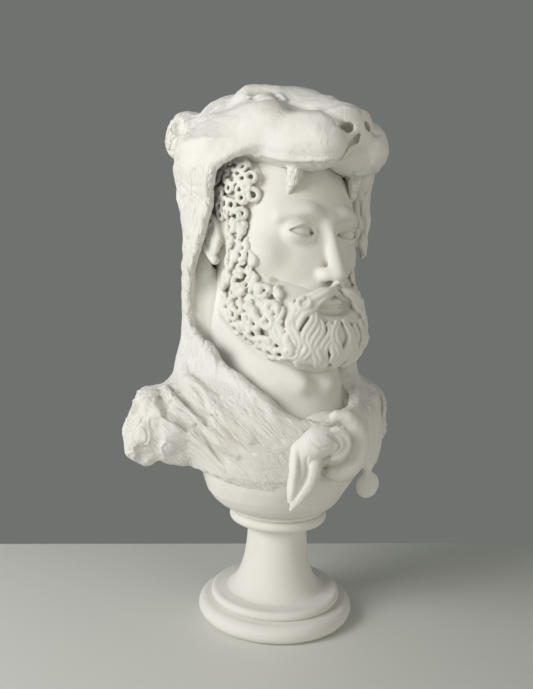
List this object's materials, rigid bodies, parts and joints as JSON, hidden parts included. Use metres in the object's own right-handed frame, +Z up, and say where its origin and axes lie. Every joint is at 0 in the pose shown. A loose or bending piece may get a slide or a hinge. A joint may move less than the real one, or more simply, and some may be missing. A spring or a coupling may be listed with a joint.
{
  "type": "hercules bust",
  "caption": "Plaster bust of a bearded hero wearing a lion's head and skin as a hood, on a turned round socle; stands by its own weight",
  "frame": {"origin": "centre of the socle's flat underside", "axes": "+Z up along the socle's axis, the figure faces -Y, the figure's left is +X"},
  "size_m": [0.3296, 0.2775, 0.597],
  "materials": {
    "bust_plaster": "matt white plaster, cast, with a little dust in the hollows",
    "socle_plaster": "matt white plaster, turned smooth"
  },
  "bodies": {
    "root": {"bust": "bust_plaster", "turned_socle": "socle_plaster"}
  },
  "joints": []
}
